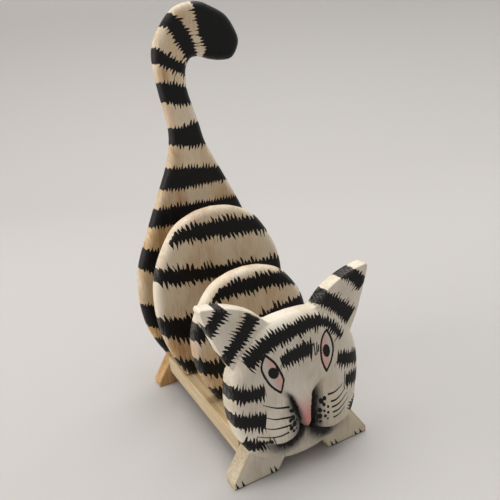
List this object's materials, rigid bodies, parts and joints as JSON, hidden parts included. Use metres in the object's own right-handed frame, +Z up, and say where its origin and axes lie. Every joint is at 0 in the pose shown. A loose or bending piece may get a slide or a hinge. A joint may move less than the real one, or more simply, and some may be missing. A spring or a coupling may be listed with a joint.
{
  "type": "letter rack",
  "caption": "Painted wooden cat letter rack: upright head, body and tail boards on a plank, with open slots between them for letters or napkins.",
  "frame": {"origin": "on the ground, below the middle of the rack", "axes": "+Z up; the cat faces -Y; +X is on the right as it is seen from the front, the side the tail hooks to"},
  "size_m": [0.144, 0.202, 0.3687],
  "materials": {
    "face_paint": "matt",
    "striped_paint": "satin",
    "bare_wood": "satin",
    "dowel_wood": "matt",
    "screw_steel": "satin"
  },
  "bodies": {
    "root": {"front_board": "face_paint", "front_panel": "striped_paint", "middle_panel": "striped_paint", "rear_board": "striped_paint", "base_plank": "bare_wood", "front_dowel_left": "dowel_wood", "front_dowel_right": "dowel_wood", "rear_dowel_left": "dowel_wood", "rear_dowel_right": "dowel_wood", "front_panel_screw_left": "screw_steel", "front_panel_screw_right": "screw_steel", "middle_panel_screw_left": "screw_steel", "middle_panel_screw_right": "screw_steel"}
  },
  "joints": []
}
